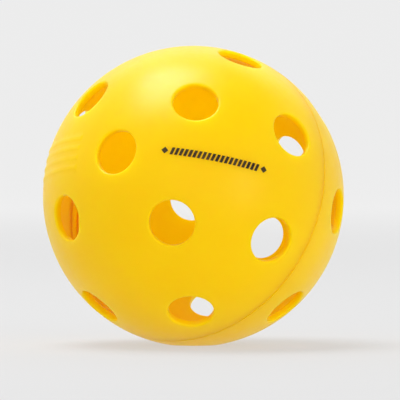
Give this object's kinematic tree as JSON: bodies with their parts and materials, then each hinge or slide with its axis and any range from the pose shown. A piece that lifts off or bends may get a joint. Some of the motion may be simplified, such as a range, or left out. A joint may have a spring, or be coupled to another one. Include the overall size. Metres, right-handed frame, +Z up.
{
  "type": "pickleball ball",
  "caption": "Hollow moulded ball with round holes all over, made of two half shells welded at a stepped joint.",
  "frame": {"origin": "the ball's centre", "axes": "+Z up, away from the surface that the ball stands on; the ball stands on the rim of one hole of half B's ring of 8, so the line through its two pole holes is tilted 72 degrees from +Z"},
  "size_m": [0.074, 0.0737, 0.0735],
  "materials": {
    "shell_plastic": "satin, slightly translucent yellow moulded plastic",
    "weld_plastic": "smooth, the same yellow plastic melted and set again",
    "print_ink": "thin matt dark ink printed on the shell"
  },
  "bodies": {
    "root": {"half_shell_a": "shell_plastic", "half_shell_b": "shell_plastic", "weld_ring": "weld_plastic"}
  },
  "joints": []
}
